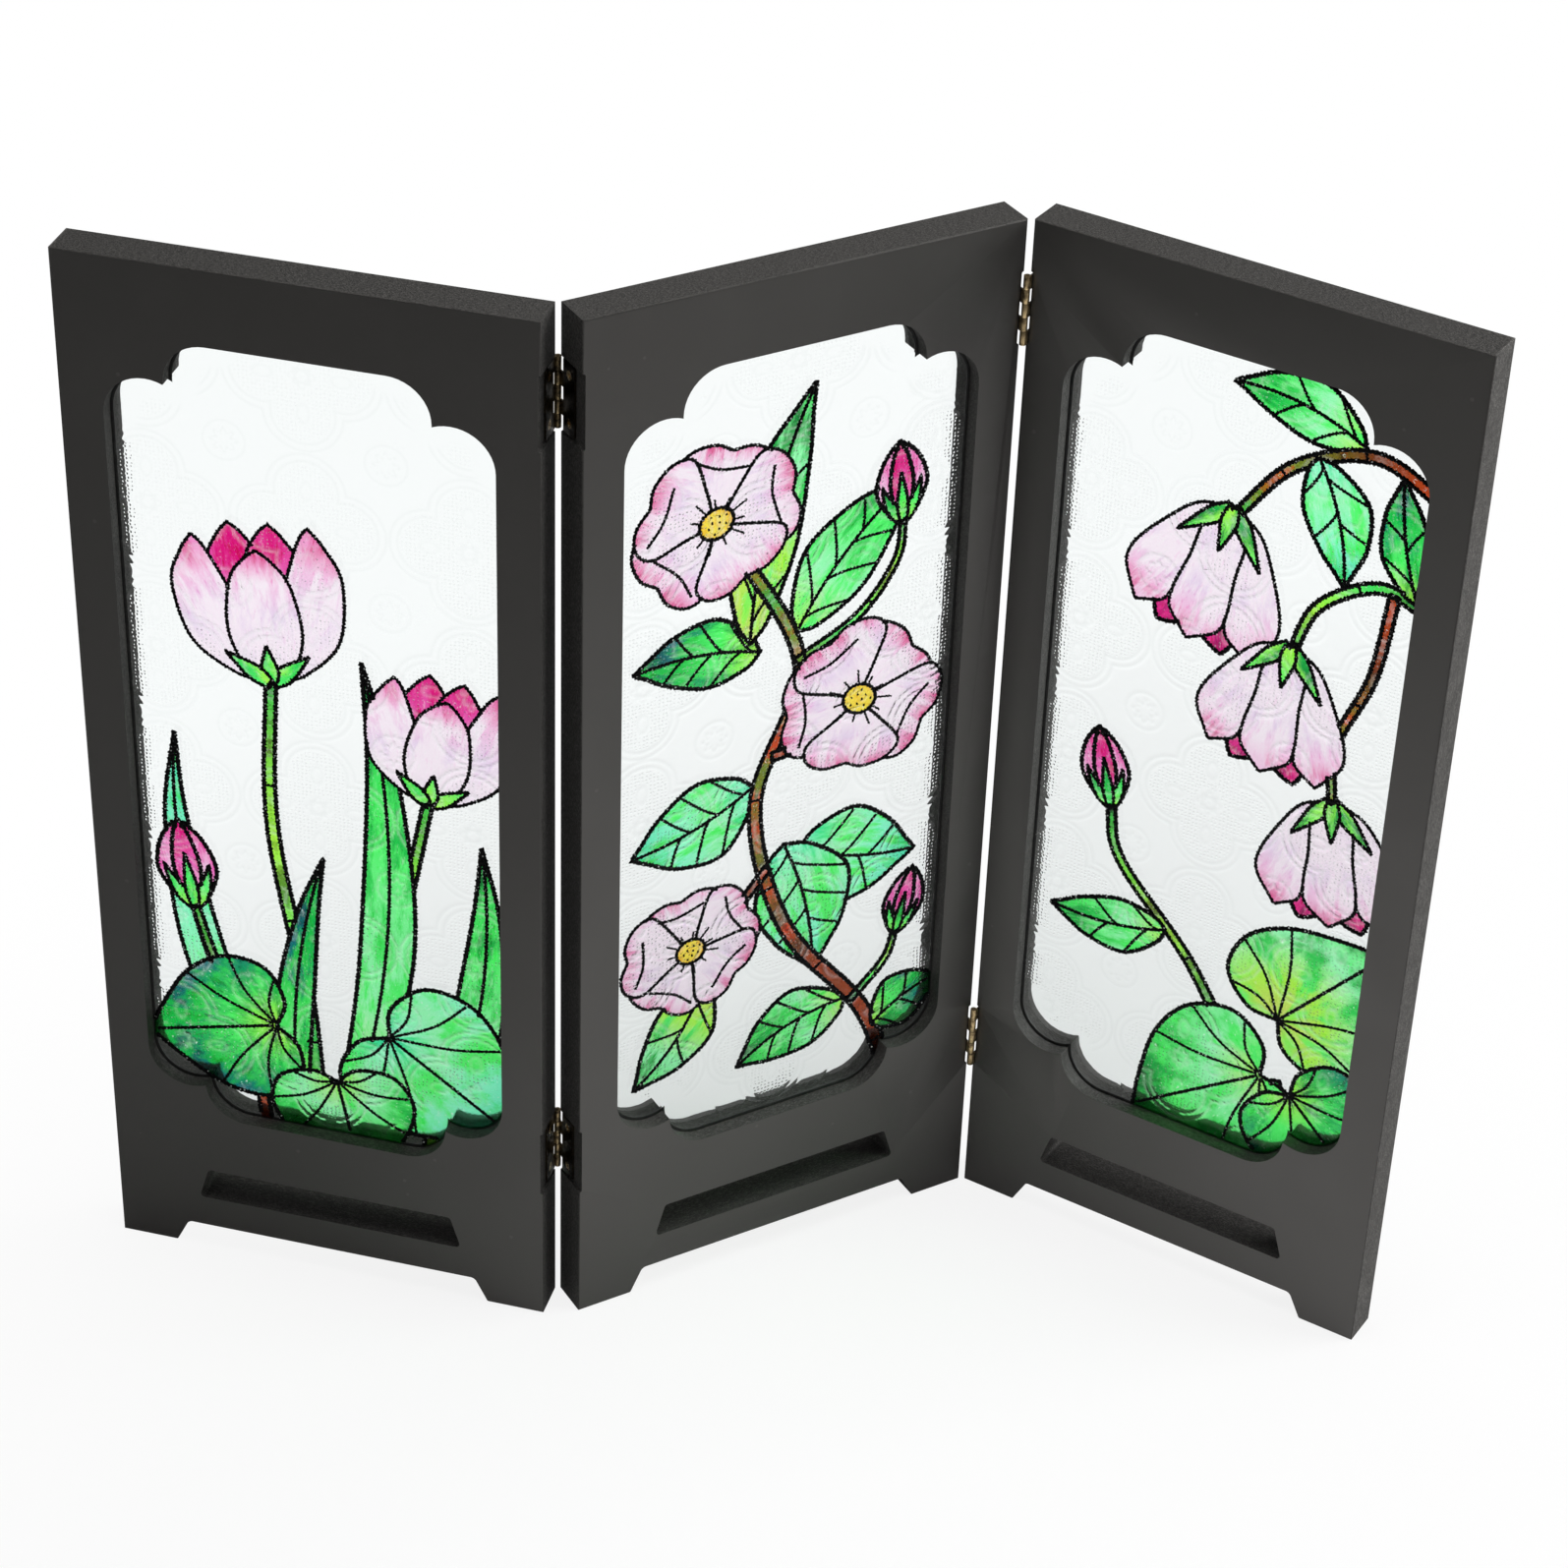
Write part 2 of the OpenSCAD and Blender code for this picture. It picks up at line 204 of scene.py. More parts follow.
def painted_board(board):
    """Satin charcoal paint: smooth on the faces, matt and fibrous on the cuts, thin along the arrises."""
    m = Material(f"{board}_board_paint")
    turn = -radians(TURNS[board])
    level = m.turned(m.node("TexCoord").outputs["Normal"], turn)
    facing = m.math("ABSOLUTE", m.node("SeparateXYZ", {0: level}).outputs["Y"])
    face = m.ramp(facing, 0.80, 0.985)
    arris = m.math("MULTIPLY", m.ramp(facing, 0.06, 0.35), m.ramp(facing, 0.985, 0.80))
    even = m.place(turn=turn)
    along = m.place(scale=(1.0, 3.4, 1.0), turn=turn)
    cloud = m.noise(even, 26, 3)
    orange_peel = m.noise(even, 900, 2)
    fibre = m.noise(along, 1500, 4, 0.7)
    pore = m.ramp(m.cells(along, 950), 0.30, 0.12)
    speck = m.ramp(m.cells(even, 62), 0.055, 0.035)
    scuff = m.ramp(m.noise(m.place(scale=(1, 1, 0.25), turn=turn), 60, 6, 0.7), 0.66, 0.80)
    face_tone = m.mix(m.ramp(cloud, 0.38, 0.66), FACE_PAINT, FACE_PAINT_WORN)
    face_tone = m.mix(m.math("MULTIPLY", speck, 0.35), face_tone, CUT_FIBRE)
    face_tone = m.mix(m.math("MULTIPLY", scuff, 0.25), face_tone, ARRIS_PAINT)
    clump = m.ramp(m.noise(along, 620, 3, 0.6), 0.36, 0.62, 0.35, 1.25)
    grain = m.math("MULTIPLY", m.ramp(fibre, 0.40, 0.66), clump)
    cut_tone = m.mix(grain, CUT_PAINT, CUT_FIBRE)
    cut_tone = m.mix(m.math("MULTIPLY", pore, 0.7), cut_tone, CUT_PORE)
    # Painted light: the free end of an outer board is painted paler.
    if board != "middle":
        cut_tone = m.mix(painted_light_free_end(m, board, even), cut_tone, m.mix(grain, END_PAINT_PAINTED_LIT, END_FIBRE_PAINTED_LIT))
    tone = m.mix(face, cut_tone, face_tone)
    thin = m.math("MULTIPLY", arris, m.ramp(m.noise(even, 240, 4), 0.36, 0.6, 0.35, 1.0))
    tone = m.mix(thin, tone, ARRIS_PAINT)
    face_rough = m.ramp(cloud, 0.3, 0.7, 0.38, 0.47)
    rough = m.node("Mix", {"Factor": face, 2: 0.72, 3: face_rough}).outputs[0]
    peel = m.bump(orange_peel, 0.00003, 0.5)
    cut = m.bump(m.math("SUBTRACT", fibre, m.math("MULTIPLY", pore, 0.6)), 0.00022, 0.8)
    relief = m.node("Mix", {"Factor": face, 4: cut, 5: peel}, data_type="VECTOR").outputs[1]
    gloss = m.ramp(face, 0, 1, 0.35, 1.0)
    shader = m.principled(
        Base_Color=tone, Roughness=rough, Normal=relief, Specular_IOR_Level=gloss, Specular_Tint=WARM_GLOSS
    )
    return m.surface(shader)


def brass(name, bright, dark, shine, pins=()):
    """Antiqued brass: bright where hands rub it, brown in the hollows, with small pits.

    Leaves are given their pins, and are painted near black away from them as painted shade.
    """
    m = Material(name)
    where = m.place()
    patch = m.ramp(m.noise(where, 420, 5, 0.65), 0.40, 0.62)
    pits = m.ramp(m.cells(where, 2600), 0.22, 0.08)
    streak = m.noise(m.place(scale=(1, 1, 0.15)), 2200, 3)
    tone = m.mix(patch, bright, dark)
    tone = m.mix(m.math("MULTIPLY", pits, 0.55), tone, (0.03, 0.022, 0.014, 1))
    if pins:
        spot = m.place(scale=(1, 1, 0))
        nearest = m.math("MINIMUM", *[m.distance(spot, pin) for pin in pins])
        # Painted shade: the leaves are painted near black away from the barrels.
        shade_off_pin = m.ramp(nearest, BARREL_R * 1.1 * MM, BARREL_R * 1.5 * MM)
        tone = m.mix(m.math("MULTIPLY", shade_off_pin, 0.88), tone, (0.012, 0.010, 0.008, 1))
    rough = m.ramp(patch, 0, 1, shine, shine + 0.18)
    height = m.math("SUBTRACT", streak, m.math("MULTIPLY", pits, 0.8))
    normal = m.bump(height, 0.00004, 0.6)
    return m.surface(m.principled(Base_Color=tone, Metallic=1.0, Roughness=rough, Normal=normal))


def clear_sheet():
    """Clear embossed sheet, with the fine stipple inside the rosettes and a faint green body, painted darker
    on its ridges and dots as painted shade.
    """
    m = Material("embossed_clear")
    where = m.place()
    dots = m.ramp(m.cells(where, DOT_CELLS, DOT_STRAY), 0.42, 0.05)
    stipple = m.math("MULTIPLY", dots, m.attribute("stipple"))
    height = m.math("ADD", stipple, m.math("MULTIPLY", m.noise(where, 260, 2), 0.22))
    # Painted shade: the body is painted darker along the ridges and on the stipple dots.
    tint = m.mix(m.ramp(m.attribute("ridge"), 0.0, 1.0), (0.966, 0.996, 0.992, 1), (0.905, 0.940, 0.935, 1))
    tint = m.mix(m.math("MULTIPLY", stipple, 0.6), tint, (0.86, 0.90, 0.895, 1))
    normal = m.bump(height, 0.00017, 0.9)
    glass = m.principled(Base_Color=tint, Roughness=0.04, IOR=1.49, Transmission_Weight=1.0, Normal=normal)
    return m.clear_surface(glass, (0.90, 0.94, 0.93, 1))


# Boards and hinges

def finished(node, finish, round_mm, segments, sharp_deg, flat=False):
    """Give a CAD node its finish and small round edges, its flat faces joined first where flat is set."""
    node.data.materials.clear()
    node.data.materials.append(finish)
    weld = node.modifiers.new("weld", "WELD")
    weld.merge_threshold = 0.002 * MM
    if flat:
        joined = node.modifiers.new("flat", "DECIMATE")
        joined.decimate_type = "DISSOLVE"
        joined.angle_limit = radians(0.5)
    edge = node.modifiers.new("edge", "BEVEL")
    edge.width = round_mm * MM
    edge.segments = segments
    edge.limit_method = "ANGLE"
    edge.angle_limit = radians(sharp_deg)
    edge.harden_normals = True


for board in TURNS:
    finished(frame["nodes"][f"{board}_board"], painted_board(board), 0.5, 3, 50, flat=True)

pin_axes = [middle_of(f"{fold}_upper_pin") for fold in ("left", "right")]
# Painted shade: the left hinge gets a darker copy of the right hinge's brass, for the shade between the left
# and middle boards.
brass_left_shaded = brass("left_hinge_brass_shaded", (0.30, 0.225, 0.12, 1), (0.055, 0.042, 0.025, 1), 0.28, pin_axes)
brass_right_lit = brass("right_hinge_brass_lit", (0.60, 0.45, 0.24, 1), (0.16, 0.115, 0.062, 1), 0.30, pin_axes)
brass_pin = brass("pin_brass", (0.50, 0.39, 0.23, 1), (0.16, 0.115, 0.065, 1), 0.30)
brass_screw = brass("screw_brass", (0.90, 0.72, 0.42, 1), (0.26, 0.19, 0.10, 1), 0.24)
for name, node in frame["nodes"].items():
    brass_leaf = brass_left_shaded if name.startswith("left") else brass_right_lit
    for ending, finish in (("leaf", brass_leaf), ("pin", brass_pin), ("screws", brass_screw)):
        if name.endswith(ending):
            finished(node, finish, 0.08, 2, 40)


# Panes

GRID = 0.75
TILE = 55.0
LOBE_ROUND = 11.0
LOBE_REACH = 13.3
LINE_GAP = 2.6
RIDGE_W = 0.55
RELIEF_MM = 0.20
PLAIN_EDGE = 8.0
PLAIN_FADE = 3.0


def window_outline(inset, step=0.9):
    """The window's outline drawn in by inset, counter-clockwise, as points x, z."""
    radius = LOBE_R - inset
    side = STILE_W + LOBE_R
    tall = STILE_W + STEP_X + LOBE_R
    low = BOTTOM_RAIL + LOBE_R
    turn = acos((STILE_W + STEP_X + inset - side) / radius)
    count = ceil(LOBE_R * pi / 2 / step)
    outer, inner = np.linspace(pi, turn, count), np.linspace(pi, pi / 2, count)

    def corner(step):
        small = np.column_stack([side + radius * np.cos(outer), radius * np.sin(outer) - step])
        return np.vstack([small, np.column_stack([tall + radius * np.cos(inner), radius * np.sin(inner)])])

    upper, lower = corner(STEP_Z), corner(LOW_STEP_Z)
    top = BOARD_H - TOP_RAIL - LOBE_R
    upper_left = upper + (0, top)
    upper_right = np.array((BOARD_W, top)) + upper[::-1] * (-1, 1)
    lower_right = np.array((BOARD_W, low)) - lower
    lower_left = lower[::-1] * (1, -1) + (0, low)
    clockwise = np.vstack([upper_left, upper_right, lower_right, lower_left])
    return clockwise[::-1]


def ridge_at(distance):
    return np.exp(-((distance / RIDGE_W) ** 2))


def distance_to(ring, points):
    """Distance in millimetres of each point from the nearest point of the ring."""
    found = np.full(len(points), np.inf)
    for x, z in ring:
        found = np.minimum(found, np.hypot(points[:, 0] - x, points[:, 1] - z))
    return found


def relief(points, ring):
    """Embossing at points of a pane: the height of its ridges, 0 to 1, and how much of the stipple shows."""
    x, z = points.T
    px = np.abs((x - BOARD_W / 2 + TILE / 2) % TILE - TILE / 2)
    pz = np.abs((z - BOARD_H / 2 + TILE / 2) % TILE - TILE / 2)
    u, v = np.maximum(px, pz), np.minimum(px, pz)
    quatrefoil = np.hypot(u - LOBE_REACH, v) - LOBE_ROUND
    oval = np.hypot((u - LOBE_REACH) / 1.7, v) - 2.0
    middle = np.hypot(px, pz)
    spin = np.arctan2(pz, px)
    corner = np.hypot(TILE / 2 - px, TILE / 2 - pz)
    corner_spin = np.arctan2(TILE / 2 - pz, TILE / 2 - px)
    between = quatrefoil > LINE_GAP + 1.5
    ridges = [
        ridge_at(quatrefoil),
        ridge_at(quatrefoil - LINE_GAP),
        0.7 * ridge_at(oval),
        0.8 * ridge_at(middle - 3.2 - 1.3 * np.cos(4 * spin)) * (middle < 6),
        0.9 * ridge_at(corner - 3.6 - 1.0 * np.cos(8 * corner_spin)),
        0.8 * ridge_at(corner - 7.2) * between,
    ]
    stipple = (quatrefoil < -1.2) & (oval > 0.9) & (middle > 5.6)
    shown = np.clip((distance_to(ring, points) - PLAIN_EDGE) / PLAIN_FADE, 0, 1)
    return np.clip(sum(ridges), 0, 1) * shown, stipple * shown


def inside(points, ring):
    """True for each point that lies within the closed ring."""
    x, z = points[:, 0], points[:, 1]
    found = np.zeros(len(points), bool)
    for (ax, az), (bx, bz) in zip(ring, np.roll(ring, -1, 0)):
        crosses = (az > z) != (bz > z)
        if crosses.any():
            found ^= crosses & (x < ax + (z - az) / ((bz - az) or 1e-12) * (bx - ax))
    return found


def mesh_object(name, points, faces, material):
    """An object whose mesh is in a board's own frame, given in millimetres."""
    mesh = bpy.data.meshes.new(name)
    mesh.from_pydata([tuple(MM * c for c in p) for p in points], [], faces)
    mesh.materials.append(material)
    made = bpy.data.objects.new(name, mesh)
    bpy.context.scene.collection.objects.link(made)
    return made


def triangulated(points, edges):
    """Triangles inside the closed edges: points, faces, and each given point's place among the points."""
    where, _, faces, origin, _, _ = delaunay_2d_cdt(points, edges, [], 1, 1e-5)
    place = {given: made for made, givens in enumerate(origin) for given in givens}
    return np.array([tuple(p) for p in where]), [tuple(f) for f in faces], place


def mark_embossing(made, height, stipple):
    """Keep the embossing on the points of a mesh, for its material."""
    for label, values in (("ridge", height), ("stipple", stipple)):
        layer = made.data.attributes.new(label, "FLOAT", "POINT")
        layer.data.foreach_set("value", values.astype(np.float32))


def pane_points():
    """Triangulated pane: embossed front, flat back and its edge."""
    ring = window_outline(PANE_GAP)
    inner = window_outline(PANE_GAP + 0.5 * GRID)
    low, high = ring.min(0), ring.max(0)
    grid = np.array([
        (x, z)
        for row, z in enumerate(np.arange(low[1] + GRID / 2, high[1], GRID * 0.866))
        for x in np.arange(low[0] + (row % 2) * GRID / 2, high[0], GRID)
    ])
    grid = grid[inside(grid, inner)]
    flat = [Vector(p) for p in ring]
    inner_points = [Vector(p) for p in grid]
    edges = [(i, (i + 1) % len(flat)) for i in range(len(flat))]
    front, faces, front_of = triangulated(flat + inner_points, edges)
    height, stipple = relief(front, ring)
    back, back_faces, back_of = triangulated(flat, edges)
    points = [(x, RELIEF_MM * (1 - h), z) for (x, z), h in zip(front, height)]
    points += [(x, PANE_T, z) for x, z in back]
    start = len(front)
    made = list(faces)
    made += [tuple(start + i for i in reversed(f)) for f in back_faces]
    for a, b in edges:
        made.append((front_of[b], front_of[a], start + back_of[a], start + back_of[b]))
    none = np.zeros(len(back))
    return points, made, np.concatenate([height, none]), np.concatenate([stipple, none])


sheet_finish = clear_sheet()
points, faces, height, stipple = pane_points()
for board in TURNS:
    pane = mesh_object(f"{board}_sheet", points, faces, sheet_finish)
    mark_embossing(pane, height, stipple)
    pane.data.polygons.foreach_set("use_smooth", [len(f) == 3 for f in faces])
    pane.data.set_sharp_from_angle(angle=radians(50))
    pane.matrix_world = on_pane(board)
    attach(pane, board)
    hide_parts(f"{board}_pane")


# The pictures: flowers of no particular maker, in the colours of the photographed glass (sRGB shares)
BLUSH = (0.99, 0.935, 0.975)
PINK = (0.98, 0.78, 0.91)
ROSE = (0.96, 0.40, 0.76)
MAGENTA = (0.88, 0.05, 0.50)
LILAC = (0.94, 0.86, 0.95)
GOLD = (0.99, 0.90, 0.28)
AMBER = (0.95, 0.66, 0.08)
LIME = (0.70, 0.98, 0.28)
LEAF = (0.33, 0.99, 0.44)
LIGHT = (0.62, 1.0, 0.74)
GREEN = (0.08, 0.78, 0.30)
PINE = (0.01, 0.20, 0.13)
MINT = (0.56, 1.0, 0.82)
TEAL = (0.20, 0.90, 0.70)
SEA = (0.02, 0.46, 0.48)
STRAW = (0.86, 0.86, 0.45)
OLIVE = (0.45, 0.55, 0.12)
BROWN = (0.45, 0.22, 0.08)
RUST = (0.80, 0.27, 0.08)

OUTLINE_MM = 1.68
PETAL_LINE_MM = 1.25
VEIN_MM = 1.10
THIN_LINE_MM = OUTLINE_MM * 0.8
GOLDEN_ANGLE = 2.39996
CELL_INSET = PANE_GAP + 0.15
LINE_INSET = PANE_GAP + 0.5
CELL_GRID = 0.95
CELL_FRONT = -0.28
CELL_BACK = -0.01
STROKE = 0.28
STEM_STEP = 2.0
BEAD_STEP = 0.5
TOOTH_MM = 0.17
BEAD_SIDES = 6
BEAD_BACK = 0.02
BEAD_HIGH = 0.72
SEAL_LIP = 1.0
SEAL_FRONT = -0.15

PETAL = ((0.0, 0.10), (0.18, 0.62), (0.48, 1.0), (0.80, 0.62), (1.0, 0.0))
HEART_PETAL = ((0.0, 0.14), (0.25, 0.52), (0.60, 1.0), (0.88, 0.86), (1.0, 0.42), (0.93, 0.0))
GOBLET = ((0.0, 0.30), (0.10, 0.72), (0.38, 1.0), (0.75, 0.80), (0.92, 0.38), (1.0, 0.0))
BLADE = ((0.0, 0.30), (0.30, 0.90), (0.52, 1.0), (0.80, 0.55), (1.0, 0.0))
OVAL = ((0.0, 0.0), (0.10, 0.50), (0.38, 1.0), (0.70, 0.72), (0.90, 0.25), (1.0, 0.0))
HEART = ((0.0, 0.0), (-0.12, 0.34), (-0.05, 0.84), (0.24, 1.04), (0.56, 0.84), (0.84, 0.36), (1.0, 0.0))
SEPAL = ((0.0, 0.55), (0.35, 1.0), (0.75, 0.45), (1.0, 0.0))
BELL = ((0.0, 0.40), (0.15, 0.78), (0.42, 0.84), (0.68, 1.0), (0.84, 0.92), (0.95, 0.32), (1.0, 0.0))


def smooth(points, step=1.3):
    """A smooth open curve through the points, at even steps."""
    p = np.asarray(points, float)
    p = np.vstack([2 * p[0] - p[1], p, 2 * p[-1] - p[-2]])
    found = []
    for a, b, c, d in zip(p[:-3], p[1:-2], p[2:-1], p[3:]):
        for t in np.linspace(0, 1, 13)[:-1]:
            found.append((b * 2 + (c - a) * t + (2 * a - 5 * b + 4 * c - d) * t**2
                          + (3 * b - a - 3 * c + d) * t**3) / 2)
    found.append(p[-2])
    found = np.array(found)
    along = np.concatenate([[0], np.cumsum(np.hypot(*np.diff(found, axis=0).T))])
    even = np.linspace(0, along[-1], max(3, ceil(along[-1] / step) + 1))
    return np.column_stack([np.interp(even, along, found[:, k]) for k in (0, 1)])


def bent(base, tip, bend, t, s):
    """Point at share t of the way from base to tip and s to its left, on an axis that bows out by bend."""
    base, tip = np.asarray(base, float), np.asarray(tip, float)
    axis = tip - base
    left = np.array((-axis[1], axis[0])) / hypot(*axis)
    t, s = np.asarray(t, float), np.asarray(s, float)
    bow = 4 * bend * t * (1 - t)
    return base + t[..., None] * axis + (s + bow)[..., None] * left


def half(shape, base, tip, width, bend, side):
    t, s = np.array(shape).T
    return smooth(bent(base, tip, bend, t, side * s * width / 2))


class Picture:
    """A picture on one pane: shapes from back to front, each with its colours and the lines drawn on it."""

    def __init__(self):
        self.shapes = []

    def add(self, outline, colours, flow, lines, width=OUTLINE_MM):
        shape = {"outline": outline, "colours": colours, "flow": flow, "lines": lines, "width": width}
        self.shapes.append(shape)

    def leafy(
        self, shape, base, tip, width, colours, bend=0.0, veins=0, radial=False, ribs=True, line=OUTLINE_MM
    ):
        """A petal or leaf of one of the half shapes above, with a middle rib and veins where it has them."""
        base, tip = np.array(base, float), np.array(tip, float)
        a = half(shape, base, tip, width, bend, 1)
        b = half(shape, base, tip, width, bend, -1)
        lines = []
        if veins:
            t = np.linspace(0.02, 0.97, 12)
            lines.append((smooth(bent(base, tip, bend, t, 0 * t)), VEIN_MM * 1.2, False))
        if veins and not radial and ribs:
            for k in range(veins):
                start = 0.12 + 0.68 * k / veins
                for side in (1, -1):
                    shift = 0.04 * side
                    t = np.linspace(start + shift, min(start + shift + 0.24, 0.97), 5)
                    s = side * np.linspace(0, 1, 5) ** 1.2 * width * 0.56
                    lines.append((smooth(bent(base, tip, bend, t, s)), VEIN_MM, False))
        if veins and radial:
            for side in (1, -1):
                edge = half(shape, base, tip, width, bend, side)
                for k in range(1, veins + 1):
                    end = edge[int(len(edge) * (0.13 + 0.62 * (k - 0.5) / veins))]
                    mid = (base + end) / 2 + (tip - base) * 0.05
                    lines.append((smooth([base, mid, end]), VEIN_MM, False))
        outline = np.vstack([a, b[::-1][1:-1]])
        self.add(outline, colours, {"base": base, "tip": tip, "radial": radial}, lines, line)

    def stem(self, points, width, colours, taper=0.7, joints=()):
        """A stem along a smooth curve, with rings across it at the shares of its length given as joints."""
        path = smooth(points, STEM_STEP)
        tangent = np.gradient(path, axis=0)
        left = np.column_stack([-tangent[:, 1], tangent[:, 0]]) / np.hypot(*tangent.T)[:, None]
        share = np.linspace(0, 1, len(path))
        half_width = width / 2 * (1 - (1 - taper) * share)[:, None]
        a, b = path + left * half_width, path - left * half_width
        lines = []
        for joint in joints:
            k = int(joint * (len(path) - 1))
            lines.append((np.array([a[k], path[k], b[k]]), VEIN_MM, True))
        self.add(np.vstack([a, b[::-1]]), colours, {"path": path}, lines)

    def disc(self, centre, radius, colours, squash, turn, dots):
        """The golden middle of a flower, dotted with seeds in a spiral."""
        t = np.linspace(0, 2 * pi, 24, endpoint=False)
        x, z = radius * np.cos(t), radius * squash * np.sin(t)
        c, s = cos(turn), sin(turn)
        outline = np.column_stack([centre[0] + c * x - s * z, centre[1] + s * x + c * z])
        lines = []
        for k in range(dots):
            r = radius * 0.72 * ((k + 0.5) / dots) ** 0.5
            a = k * GOLDEN_ANGLE
            x, z = r * cos(a), r * squash * sin(a)
            spot = np.array((centre[0] + c * x - s * z, centre[1] + s * x + c * z))
            lines.append((np.array([spot - (0.3, 0), spot + (0.3, 0)]), 0.9, True))
        flow = {"base": centre, "tip": centre + (0, radius), "radial": True}
        self.add(outline, colours, flow, lines, THIN_LINE_MM)

    def rose(self, centre, radius, turn, squash, tilt):
        """An open dog rose of five notched petals round a golden middle."""
        centre = np.array(centre, float)
        tints = ((BLUSH, BLUSH, BLUSH, BLUSH, PINK), (LILAC, BLUSH, LILAC, PINK, MAGENTA))
        c, s = cos(tilt), sin(tilt)
        for k in range(5):
            a = turn + 2 * pi * k * 2 / 5
            x, z = radius * cos(a - tilt), radius * squash * sin(a - tilt)
            tip = centre + (c * x - s * z, s * x + c * z)
            reach = hypot(*(tip - centre))
            base = centre + (tip - centre) * 0.10
            bend = radius * 0.05 * (-1) ** k
            self.leafy(HEART_PETAL, base, tip, radius * 1.18, tints, bend=bend, line=PETAL_LINE_MM)
            if reach > radius * 0.9:
                fold = bent(base, tip, 0, np.array([0.74, 0.66, 0.72]), np.array([0.42, 0.1, -0.3]) * radius)
                self.shapes[-1]["lines"].append((smooth(fold), VEIN_MM, False))
        self.disc(centre, radius * 0.21, ((GOLD, GOLD, AMBER), (AMBER, GOLD, GOLD)), squash, tilt, 9)
        for k in range(11):
            a = turn + 0.3 + 2 * pi * k / 11
            x, z = cos(a - tilt), squash * sin(a - tilt)
            way = np.array((c * x - s * z, s * x + c * z))
            reach = radius * (0.42 if k % 2 else 0.34)
            thread = np.array([centre + way * radius * 0.2, centre + way * reach])
            self.shapes[-1]["lines"].append((thread, 0.8, True))

    def tulip(self, base, tip, width):
        """A goblet of pointed petals, two of them behind."""
        base, tip = np.array(base, float), np.array(tip, float)
        tall = hypot(*(tip - base))
        back = ((PINK, PINK, ROSE, MAGENTA), (PINK, ROSE, MAGENTA, MAGENTA))
        front = ((BLUSH, BLUSH, BLUSH, BLUSH, ROSE), (LILAC, BLUSH, LILAC, PINK, MAGENTA))
        for side in (1, -1):
            end = bent(base, tip, 0, 0.97, side * width * 0.16)
            self.leafy(GOBLET, base, end, width * 0.56, back, bend=side * width * 0.05, line=PETAL_LINE_MM)
        for side in (-1, 1):
            end = bent(base, tip, 0, 0.92 - 0.04 * side, side * width * 0.47)
            self.leafy(GOBLET, base, end, width * 0.52, front, bend=side * width * 0.20, line=PETAL_LINE_MM)
        end = bent(base, tip, 0, 0.80, -width * 0.03)
        self.leafy(GOBLET, base, end, width * 0.60, front, line=PETAL_LINE_MM)
        low = bent(base, tip, 0, -0.05, 0.0)
        for side in (-1, 0, 1):
            end = bent(base, tip, 0, 0.20 - 0.05 * abs(side), side * width * 0.34)
            self.leafy(SEPAL, low, end, width * 0.14, ((LIME, LEAF), (LEAF, GREEN)), line=THIN_LINE_MM)

    def bud(self, base, tip, width):
        """A closed bud in its sepals."""
        base, tip = np.array(base, float), np.array(tip, float)
        front = ((BLUSH, PINK, ROSE), (PINK, ROSE, MAGENTA))
        for side in (1, -1):
            end = bent(base, tip, 0, 0.96, side * width * 0.10)
            self.leafy(PETAL, base, end, width * 0.72, front, bend=side * width * 0.14)
        self.leafy(PETAL, base, tip, width * 0.5, ((PINK, ROSE, MAGENTA), (ROSE, MAGENTA, MAGENTA)))
        for side in (-1, 1, 0):
            end = bent(base, tip, 0, 0.62 - 0.12 * abs(side), side * width * 0.42)
            self.leafy(SEPAL, base, end, width * 0.24, ((LIME, LEAF, GREEN), (LEAF, GREEN, PINE)),
                       bend=side * width * 0.06, line=THIN_LINE_MM)

    def bell(self, top, tip, width):
        """A drooping bellflower: the inside of its mouth, then the petals of the bell and the green cap."""
        top, tip = np.array(top, float), np.array(tip, float)
        inner = ((ROSE, MAGENTA), (MAGENTA, (0.5, 0.02, 0.3)))
        outer = ((BLUSH, BLUSH, BLUSH, BLUSH, PINK), (PINK, LILAC, BLUSH, LILAC, PINK, MAGENTA))
        for side in (0.55, -0.5):
            end = bent(top, tip, 0, 0.98, side * width * 0.6)
            self.leafy(GOBLET, bent(top, tip, 0, 0.45, 0.0), end, width * 0.42, inner)
        for side in (1, -1):
            end = bent(top, tip, 0, 0.93, side * width * 0.54)
            self.leafy(BELL, top, end, width * 0.50, outer, bend=side * width * 0.13, line=PETAL_LINE_MM)
        self.leafy(BELL, top, tip, width * 0.52, outer, line=PETAL_LINE_MM)
        for side in (-1, 1, 0):
            end = bent(top, tip, 0, 0.30, side * width * 0.40)
            self.leafy(SEPAL, bent(top, tip, 0, -0.06, 0.0), end, width * 0.15,
                       ((LIME, LEAF), (GREEN, PINE)), line=THIN_LINE_MM)


FRESH = ((LIME, LIGHT, LEAF, GREEN), (LEAF, LEAF, GREEN, PINE))
DEEP = ((LIME, LEAF, GREEN, GREEN), (PINE, GREEN, SEA, PINE))
COOL = ((MINT, LIGHT, MINT, TEAL), (TEAL, LEAF, LEAF, GREEN))
SUNNY = ((STRAW, LIME, LIGHT, LEAF), (LIME, LEAF, GREEN, PINE))
STALK = ((OLIVE, LEAF, LIME, GREEN), (PINE, GREEN, OLIVE, PINE))
TWIG = ((RUST, BROWN, OLIVE, GREEN), (BROWN, RUST, RUST, OLIVE))


